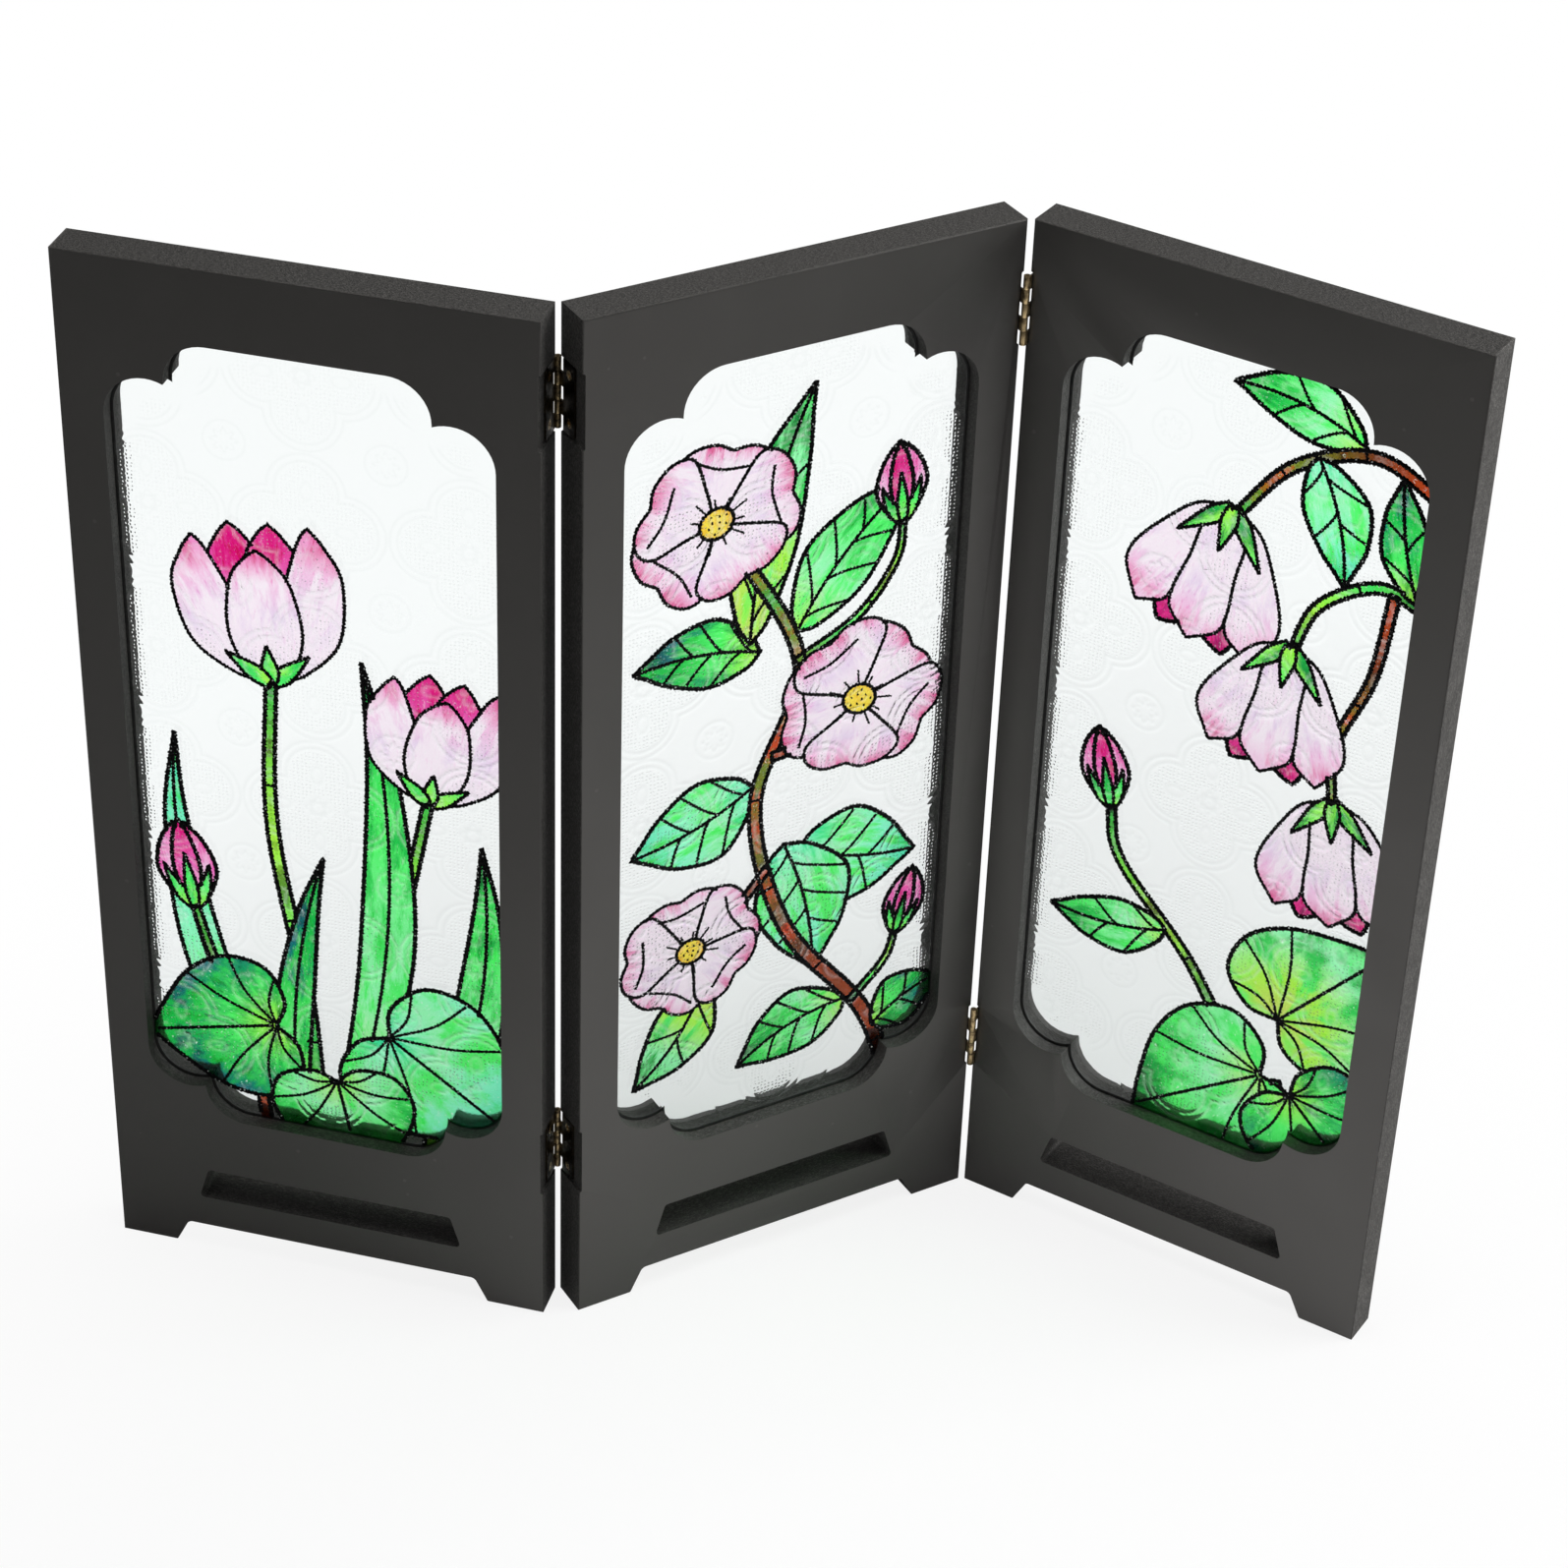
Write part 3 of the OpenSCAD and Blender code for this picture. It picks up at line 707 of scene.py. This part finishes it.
def tulips():
    """Three tulips at different heights over two broad leaves."""
    p = Picture()
    p.stem([(96, 50), (98, 110), (112, 170), (121, 214)], 4.6, STALK, joints=(0.3, 0.62))
    p.leafy(BLADE, (118, 60), (139, 196), 17, FRESH, bend=-9, veins=1, ribs=False)
    p.leafy(BLADE, (70, 58), (30, 222), 15, COOL, bend=15, veins=1, ribs=False)
    p.stem([(78, 50), (74, 120), (64, 190), (66, 252)], 5.2, STALK, joints=(0.25, 0.5, 0.78))
    p.stem([(58, 50), (52, 95), (40, 128), (34, 150)], 4.0, TWIG, joints=(0.5,))
    p.bud((34, 149), (29, 186), 20)
    p.leafy(BLADE, (84, 56), (98, 262), 19, FRESH, bend=-14, veins=1, ribs=False)
    p.leafy(BLADE, (70, 60), (82, 180), 13, DEEP, bend=6, veins=1, ribs=False)
    p.tulip((66, 250), (60, 310), 44)
    p.tulip((121, 212), (128, 262), 38)
    p.leafy(HEART, (104, 108), (150, 74), 66, COOL, veins=3, radial=True)
    p.leafy(HEART, (62, 104), (14, 92), 58, DEEP, veins=3, radial=True)
    p.leafy(HEART, (84, 84), (92, 44), 52, FRESH, veins=3, radial=True)
    return p


def dog_roses():
    """A dog rose that climbs from the lower right corner."""
    p = Picture()
    p.leafy(OVAL, (84, 262), (128, 312), 30, FRESH, bend=4, veins=3)
    p.leafy(OVAL, (70, 258), (22, 262), 26, DEEP, bend=-3, veins=3)
    p.leafy(OVAL, (66, 262), (88, 356), 26, SUNNY, bend=5, veins=3)
    p.leafy(OVAL, (88, 172), (136, 158), 40, COOL, bend=-3, veins=3)
    p.leafy(OVAL, (82, 176), (96, 118), 38, COOL, bend=3, veins=3)
    p.leafy(OVAL, (69, 204), (22, 188), 34, COOL, bend=3, veins=3)
    p.stem([(134, 44), (118, 92), (84, 140), (70, 196), (86, 246), (66, 290), (54, 300)], 5.6, TWIG,
           joints=(0.12, 0.3, 0.46, 0.6, 0.78))
    p.stem([(76, 168), (62, 152), (50, 140)], 3.6, TWIG)
    p.stem([(76, 214), (92, 216), (106, 224)], 3.6, TWIG)
    p.stem([(84, 250), (108, 262), (122, 280), (124, 296)], 3.2, STALK, joints=(0.5,))
    p.stem([(112, 98), (126, 112), (130, 124)], 3.2, STALK)
    p.bud((124, 294), (121, 326), 18)
    p.bud((130, 122), (136, 150), 15)
    p.leafy(OVAL, (110, 100), (66, 84), 28, FRESH, bend=-4, veins=3)
    p.leafy(OVAL, (122, 84), (150, 98), 24, DEEP, bend=2, veins=2)
    p.leafy(OVAL, (52, 128), (24, 88), 26, SUNNY, bend=4, veins=2)
    p.rose((52, 312), 31, radians(80), 0.88, radians(20))
    p.rose((110, 228), 32, radians(40), 0.84, radians(-30))
    p.rose((46, 142), 27, radians(100), 0.90, radians(10))
    return p


def bellflowers():
    """A spray of bellflowers from the upper right corner over broad leaves."""
    p = Picture()
    p.leafy(OVAL, (122, 352), (74, 362), 22, FRESH, bend=-4, veins=2)
    p.stem([(152, 340), (126, 350), (98, 338), (78, 312)], 4.4, TWIG, joints=(0.35, 0.7))
    p.stem([(150, 300), (132, 304), (112, 290), (104, 268)], 4.0, STALK, joints=(0.4,))
    p.stem([(138, 303), (134, 270), (124, 240), (126, 214)], 3.6, TWIG, joints=(0.5,))
    p.leafy(OVAL, (106, 344), (120, 300), 24, COOL, bend=3, veins=2)
    p.leafy(OVAL, (146, 302), (136, 346), 18, DEEP, bend=2, veins=2)
    p.bell((78, 314), (66, 262), 40)
    p.bell((104, 270), (98, 220), 38)
    p.bell((126, 216), (130, 168), 38)
    p.stem([(112, 44), (104, 90), (82, 130), (50, 164), (44, 186)], 4.4, STALK, joints=(0.3, 0.6))
    p.bud((44, 184), (37, 216), 17)
    p.leafy(OVAL, (70, 142), (24, 136), 22, FRESH, bend=3, veins=2)
    p.stem([(128, 44), (124, 76), (118, 96)], 5.0, TWIG, joints=(0.5,))
    p.leafy(HEART, (116, 122), (152, 164), 60, SUNNY, veins=3, radial=True)
    p.leafy(HEART, (112, 96), (64, 62), 62, FRESH, veins=3, radial=True)
    p.leafy(HEART, (124, 92), (156, 62), 56, DEEP, veins=3, radial=True)
    return p


PICTURES = {"left": tulips, "middle": dog_roses, "right": bellflowers}


def flow_at(flow, points):
    """Share of the way along a shape at the points, and the brush's own coordinates there in millimetres."""
    if "path" in flow:
        gaps = np.hypot(*(points[:, None] - flow["path"][None]).transpose(2, 0, 1))
        nearest = gaps.argmin(1)
        return nearest / (len(flow["path"]) - 1), nearest * STEM_STEP, gaps.min(1)
    axis = flow["tip"] - flow["base"]
    reach = hypot(*axis)
    away = points - flow["base"]
    if flow["radial"]:
        distance = np.hypot(*away.T)
        angle = np.arctan2(away[:, 1], away[:, 0]) - atan2(axis[1], axis[0])
        return np.clip(distance / reach, 0, 1), distance, 24 * np.sin(angle / 2)
    along = away @ axis / reach
    across = away @ np.array((-axis[1], axis[0])) / reach
    return np.clip(along / reach, 0, 1), along, across


def linear(colours):
    c = np.asarray(colours)
    return np.where(c <= 0.04045, c / 12.92, ((c + 0.055) / 1.055) ** 2.4)


def colour_at(colours, share):
    stops = linear(colours)
    at = np.linspace(0, 1, len(stops))
    return np.column_stack([np.interp(share, at, stops[:, k]) for k in range(3)] + [np.ones(len(share))])


def painted_cells(name, picture, ring, material):
    """The coloured cells of a picture as one thin plate, each triangle coloured by its topmost shape."""
    points, edges = [], []
    for outline in [shape["outline"] for shape in picture.shapes] + [ring]:
        start, count = len(points), len(outline)
        points += [Vector(p) for p in outline]
        edges += [(start + i, start + (i + 1) % count) for i in range(count)]
    low, high = ring.min(0), ring.max(0)
    for row, z in enumerate(np.arange(low[1], high[1], CELL_GRID)):
        for x in np.arange(low[0] + (row % 2) * CELL_GRID / 2, high[0], CELL_GRID):
            points.append(Vector((x, z)))
    where, _, faces, _, _, _ = delaunay_2d_cdt(points, edges, [], 0, 1e-4)
    flat = np.array([tuple(p) for p in where])
    faces = np.array([tuple(f) for f in faces])
    centre = flat[faces].mean(1)
    owner = np.full(len(faces), -1)
    for k, shape in enumerate(picture.shapes):
        owner[inside(centre, shape["outline"])] = k
    kept = inside(centre, ring) & (owner >= 0)
    faces, owner = faces[kept], owner[kept]
    used, faces = np.unique(faces, return_inverse=True)
    flat, faces = flat[used], faces.reshape(-1, 3)
    count = len(flat)
    height, stipple = relief(flat, ring)
    front_y = CELL_FRONT + RELIEF_MM * 0.5 * (1 - height)
    sides, side_owner = [], []
    single = {}
    for k, (a, b, c) in enumerate(faces):
        for edge in ((a, b), (b, c), (c, a)):
            if edge[::-1] in single:
                del single[edge[::-1]]
            else:
                single[edge] = k
    for (a, b), k in single.items():
        sides.append((b, a, count + a, count + b))
        side_owner.append(owner[k])
    made_points = [(x, y, z) for (x, z), y in zip(flat, front_y)] + [(x, CELL_BACK, z) for x, z in flat]
    made = [tuple(f) for f in faces] + [tuple(count + i for i in f[::-1]) for f in faces] + sides
    plate = mesh_object(name, made_points, made, material)
    corners = np.array([i % count for face in made for i in face])
    owners = np.repeat(np.concatenate([owner, owner, np.array(side_owner, int)]), [len(f) for f in made])
    tint, wash, flow = (np.zeros((len(corners), size)) for size in (4, 4, 3))
    for k in np.unique(owners):
        of_shape = owners == k
        shape = picture.shapes[k]
        share, along, across = flow_at(shape["flow"], flat[corners[of_shape]])
        tint[of_shape] = colour_at(shape["colours"][0], share)
        wash[of_shape] = colour_at(shape["colours"][1], share)
        flow[of_shape] = np.column_stack([along * STROKE, across, np.full(len(along), 9.7 * k)])
    for label, kind, field, values in (
        ("tint", "FLOAT_COLOR", "color", tint),
        ("wash", "FLOAT_COLOR", "color", wash),
        ("flow", "FLOAT_VECTOR", "vector", flow),
    ):
        layer = plate.data.attributes.new(label, kind, "CORNER")
        layer.data.foreach_set(field, values.astype(np.float32).ravel())
    mark_embossing(plate, np.tile(height, 2), np.tile(stipple, 2))
    return plate


def visible_runs(picture, ring):
    """Each length of line that no later shape hides, with its width."""
    runs = []
    for k, shape in enumerate(picture.shapes):
        outline = shape["outline"]
        for line, width, free in [(outline, shape["width"], True)] + shape["lines"]:
            closed = line is outline
            shown = inside(line, ring)
            if not free:
                shown &= inside(line, outline)
            hidden = np.zeros(len(line), bool)
            for later in picture.shapes[k + 1:]:
                hidden |= inside(line, later["outline"])
            drawn = shown & ~hidden
            if closed:
                turn = int(np.argmin(drawn))
                line = np.vstack([np.roll(line, -turn, 0), line[turn]])
                drawn = np.append(np.roll(drawn, -turn), drawn[turn])
                shown = np.append(np.roll(shown, -turn), shown[turn])
            wider = drawn.copy()
            wider[1:] |= drawn[:-1]
            wider[:-1] |= drawn[1:]
            drawn = wider & shown
            edges = np.flatnonzero(np.diff(np.concatenate([[0], drawn.astype(int), [0]])))
            for start, end in zip(edges[::2], edges[1::2]):
                if end - start > 1:
                    runs.append((line[start:end], width))
    return runs


def raised_lines(name, runs, material):
    """Lines squeezed out like soft lead: a half-round bead with a flat back and small knots along it."""
    points, faces = [], []
    arc = np.linspace(0, pi, BEAD_SIDES)
    for number, (line, width) in enumerate(runs):
        steps = np.hypot(*np.diff(line, axis=0).T)
        along = np.concatenate([[0], np.cumsum(steps)])
        if along[-1] < 0.4:
            continue
        even = np.linspace(0, along[-1], max(2, ceil(along[-1] / BEAD_STEP) + 1))
        path = np.column_stack([np.interp(even, along, line[:, k]) for k in (0, 1)])
        tangent = np.gradient(path, axis=0)
        tangent /= np.maximum(np.hypot(*tangent.T), 1e-9)[:, None]
        left = np.column_stack([-tangent[:, 1], tangent[:, 0]])
        phase = even + 17.3 * number
        knots = 0.5 * np.sin(phase * 3.7) + 0.3 * np.sin(phase * 6.1 + 1.3) + 0.2 * np.sin(phase * 11.9)
        swell = 1 + 0.15 * np.sin(phase * 2.3 + 0.7) + 0.14 * np.sin(phase * 4.9)
        teeth = [TOOTH_MM * (np.sin(phase * 4.4 + p) + 0.7 * np.sin(phase * 7.3 + 2 * p)) for p in (0, 2)]
        for (x, z), (lx, lz), knot, grow, tooth, other in zip(path, left, knots, swell, *teeth):
            half_width = width / 2 * grow
            high = BEAD_HIGH * (width / OUTLINE_MM) ** 0.5 * (1 + 0.35 * knot)
            for a in arc:
                side = half_width * cos(a) + 0.12 * knot + (tooth if cos(a) > 0 else other) * cos(a)
                points.append((x + lx * side, BEAD_BACK - high * sin(a), z + lz * side))
        start = len(points) - len(path) * BEAD_SIDES
        for i in range(len(path) - 1):
            here = start + i * BEAD_SIDES
            there = here + BEAD_SIDES
            for j in range(BEAD_SIDES):
                k = (j + 1) % BEAD_SIDES
                faces.append((here + j, there + j, there + k, here + k))
        faces.append(tuple(range(start, start + BEAD_SIDES)))
        faces.append(tuple(range(len(points) - 1, len(points) - 1 - BEAD_SIDES, -1)))
    made = mesh_object(name, points, faces, material)
    made.data.set_sharp_from_angle(angle=radians(60))
    return made


def stained_glass():
    """Translucent colours washed over one another along the strokes of each cell, on a hammered surface, with
    painted highlights: pale strokes, and pale spots on the dots and ridges.
    """
    m = Material("enamel_glass")
    where = m.place()
    ridge = m.attribute("ridge")
    flow = m.attribute("flow", "Vector")
    blot = m.ramp(m.noise(flow, 0.17, 4, 0.62), 0.43, 0.62)
    streak = m.noise(flow, 0.75, 3, 0.6)
    tone = m.mix(blot, m.attribute("tint", "Color"), m.attribute("wash", "Color"))
    tone = m.mix(m.ramp(streak, 0.56, 0.78, 0, 0.26), tone, (0.93, 0.97, 0.93, 1))
    tone = m.mix(m.ramp(streak, 0.46, 0.28, 0, 0.75), tone, tone, "MULTIPLY")
    # Painted highlights: pale strokes along the flow, and pale spots on the stipple dots and ridges.
    highlight_strokes = m.ramp(m.noise(flow, 2.4, 2, 0.5), 0.665, 0.73, 0.0, 0.6)
    dots = m.ramp(m.cells(where, DOT_CELLS, DOT_STRAY), 0.36, 0.10)
    pricked = m.math("MULTIPLY", dots, m.ramp(m.attribute("stipple"), 0, 1, 0.18, 1.0))
    raised = m.math("MAXIMUM", m.math("MULTIPLY", pricked, 0.28), m.math("MULTIPLY", ridge, 0.26))
    raised = m.math("MAXIMUM", raised, highlight_strokes)
    tone = m.mix(raised, tone, (0.90, 0.95, 0.93, 1))
    hammer = m.math("ADD", m.math("ADD", pricked, ridge), m.noise(where, 420, 3))
    normal = m.bump(hammer, 0.00018, 0.8)
    glass = m.principled(
        Base_Color=tone, Roughness=0.10, IOR=1.49, Transmission_Weight=1.0, Normal=normal,
        Specular_Tint=grey(0.35)
    )
    return m.clear_surface(glass, tone)


def black_relief():
    """Glossy black relief paste with small pits and knots that catch the light, and pale painted glints
    dotted over it.
    """
    m = Material("black_relief")
    where = m.place()
    lumps = m.noise(where, 900, 4, 0.65)
    pits = m.ramp(m.cells(where, 1300), 0.30, 0.12)
    height = m.math("SUBTRACT", lumps, m.math("MULTIPLY", pits, 0.35))
    painted_glints = m.ramp(m.cells(where, 620), 0.21, 0.14)
    tone = m.mix(m.ramp(lumps, 0.35, 0.7), (0.0008, 0.0008, 0.0010, 1), (0.004, 0.004, 0.0045, 1))
    # Painted highlights: pale glints dotted over the black paste.
    tone = m.mix(m.math("MULTIPLY", painted_glints, 0.8), tone, (0.55, 0.58, 0.56, 1))
    rough = m.ramp(lumps, 0.3, 0.7, 0.14, 0.30)
    normal = m.bump(height, 0.00025, 0.9)
    return m.surface(m.principled(Base_Color=tone, Roughness=rough, Normal=normal, Specular_IOR_Level=0.06))


def sealant():
    """Matt black sealant, drawn out by hand."""
    m = Material("black_sealant")
    drag = m.noise(m.place(scale=(1, 1, 0.4)), 900, 3)
    blotch = m.ramp(m.noise(m.place(), 300, 3), 0.35, 0.65)
    tone = m.mix(blotch, (0.004, 0.004, 0.004, 1), (0.010, 0.010, 0.009, 1))
    rough = m.ramp(drag, 0.3, 0.7, 0.55, 0.7)
    normal = m.bump(drag, 0.00008, 0.6)
    return m.surface(m.principled(Base_Color=tone, Roughness=rough, Normal=normal, Specular_IOR_Level=0.25))


def seal(board, material):
    """The bead of black sealant that holds a pane's edge to the window's wall."""
    wall = window_outline(0.02)
    lip = window_outline(SEAL_LIP)
    middle = window_outline(SEAL_LIP * 0.45)
    core = window_outline(PANE_GAP + 0.1)
    face, back = RELIEF_MM, PANE_T + 0.02
    rings = [(wall, SEAL_FRONT), (middle, SEAL_FRONT), (lip, face), (core, face), (core, back), (wall, back)]
    count = len(wall)
    points = [(x, y, z) for ring, y in rings for x, z in ring]
    faces = []
    for r in range(len(rings)):
        after = (r + 1) % len(rings)
        for i in range(count):
            k = (i + 1) % count
            faces.append((r * count + i, r * count + k, after * count + k, after * count + i))
    return mesh_object(f"{board}_seal", points, faces, material)


enamel_finish = stained_glass()
relief_finish = black_relief()
seal_finish = sealant()
for board, draw in PICTURES.items():
    picture = draw()
    cells = painted_cells(f"{board}_enamel", picture, window_outline(CELL_INSET), enamel_finish)
    runs = visible_runs(picture, window_outline(LINE_INSET))
    outline = raised_lines(f"{board}_outline", runs, relief_finish)
    bead = seal(board, seal_finish)
    for piece, slot in ((cells, "enamel"), (outline, "outline"), (bead, "outline")):
        piece.data.polygons.foreach_set("use_smooth", [True] * len(piece.data.polygons))
        piece.data.set_sharp_from_angle(angle=radians(60))
        piece.matrix_world = on_pane(board)
        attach(piece, board)


# Floor, light and camera

FLOOR_WHITE = 0.74
# Greys of the floor as seen through glass and in reflections: painted shade.
FLOOR_THROUGH_PAINTED_SHADE = 0.62
FLOOR_MIRRORED_PAINTED_SHADE = 0.48
WHITE_NEAR = 0.85
GLASS_NEAR = 0.0
GLASS_X = 0.10
GLOSS_NEAR = 1.0
GLOSS_FAR = 0.0
WORLD_LIGHT = 0.20
POOL_X = 0.134
POOL_Y = -0.218
POOL_STRETCH = 1.45


def pale_floor():
    """Pale floor that shows its light and shadow near the object and fades to the white background. In
    reflections it shows a glowing painted pool of light near the object, and in reflections and through glass
    it is painted greyer as painted shade.
    """
    m = Material("pale_floor")
    path = m.node("LightPath").outputs
    through = path["Is Transmission Ray"]
    away = m.distance(m.place())
    painted_pool_reach = m.distance(m.place(scale=(1, POOL_STRETCH, 1)))
    beyond = m.distance(m.place(), (GLASS_X, 0, 0))
    mirrored = m.math("SUBTRACT", path["Is Glossy Ray"], through, clamp=True)
    to_eye = m.math("MULTIPLY", path["Is Camera Ray"], m.ramp(away, 0.25, 0.65, WHITE_NEAR, 1.0))
    to_glass = m.math("MULTIPLY", through, m.ramp(beyond, 0.28, 0.76, GLASS_NEAR, 1.0))
    # Painted light: reflections see a glowing pool round POOL_X, POOL_Y that fades out further away.
    to_gloss = m.math("MULTIPLY", mirrored, m.ramp(painted_pool_reach, 0.146, 0.40, GLOSS_NEAR, GLOSS_FAR))
    share = m.math("MAXIMUM", m.math("MAXIMUM", to_eye, to_glass), to_gloss)
    shade = m.mix(through, grey(FLOOR_WHITE), grey(FLOOR_THROUGH_PAINTED_SHADE))
    shade = m.mix(mirrored, shade, grey(FLOOR_MIRRORED_PAINTED_SHADE))
    lit = m.node("BsdfDiffuse", {"Color": shade}).outputs[0]
    white = m.node("Emission", {"Color": grey(1.0), "Strength": 1.0}).outputs[0]
    return m.surface(m.node("MixShader", {0: share, 1: lit, 2: white}).outputs[0])


middle = (POOL_X, POOL_Y, -0.0001)
bpy.ops.mesh.primitive_circle_add(vertices=96, radius=6.0, fill_type="NGON", location=middle)
floor = bpy.context.object
floor.name = "floor"
floor.data.materials.append(pale_floor())

world = bpy.data.worlds.new("studio")
bpy.context.scene.world = world
world.use_nodes = True
tree = world.node_tree
path = tree.nodes.new("ShaderNodeLightPath")
direct = tree.nodes.new("ShaderNodeMath")
direct.operation = "MAXIMUM"
tree.links.new(path.outputs["Is Camera Ray"], direct.inputs[0])
tree.links.new(path.outputs["Is Transmission Ray"], direct.inputs[1])
level = tree.nodes.new("ShaderNodeMapRange")
level.inputs["To Min"].default_value = WORLD_LIGHT
level.inputs["To Max"].default_value = 1.0
tree.links.new(direct.outputs[0], level.inputs["Value"])
tree.links.new(level.outputs[0], tree.nodes["Background"].inputs["Strength"])
tree.nodes["Background"].inputs["Color"].default_value = grey(1.0)


def softbox(name, place, aim, width, height, watts):
    light = bpy.data.lights.new(name, "AREA")
    light.shape = "RECTANGLE"
    light.size = width
    light.size_y = height
    light.energy = watts
    made = bpy.data.objects.new(name, light)
    made.location = place
    made.rotation_euler = (Vector(aim) - Vector(place)).to_track_quat("-Z", "Y").to_euler()
    made.visible_glossy = name != "overhead"
    bpy.context.scene.collection.objects.link(made)


softbox("overhead", (0.08, 0.0, 1.0), (0.08, 0, 0), 0.8, 0.7, 7.5)
softbox("front_left", (-1.3, -1.1, 1.2), (0, 0, 0.2), 0.9, 0.9, 1.5)
softbox("right", (1.5, 0.08, 0.9), (0, 0, 0.2), 0.9, 0.9, 24)

AIM = Vector((0.00839, 0.0, 0.20100))
DISTANCE = 1.3646
YAW = radians(0.011)
RISE = radians(33.773)
ROLL = radians(2.203)
LENS_MM = 91.196


def add_camera():
    """The photograph's viewpoint, from a fit to the corners of the boards."""
    back = Vector((sin(YAW) * cos(RISE), -cos(YAW) * cos(RISE), sin(RISE)))
    right = Vector((0, 0, 1)).cross(back).normalized()
    up = back.cross(right)
    rolled = (right * cos(ROLL) + up * sin(ROLL), up * cos(ROLL) - right * sin(ROLL), back)
    made = bpy.data.objects.new("camera", bpy.data.cameras.new("camera"))
    made.data.lens = LENS_MM
    made.data.sensor_width = 36
    made.matrix_world = Matrix.Translation(AIM + back * DISTANCE) @ Matrix(rolled).transposed().to_4x4()
    bpy.context.scene.collection.objects.link(made)
    bpy.context.scene.camera = made


add_camera()
bpy.context.scene.view_settings.view_transform = "Standard"
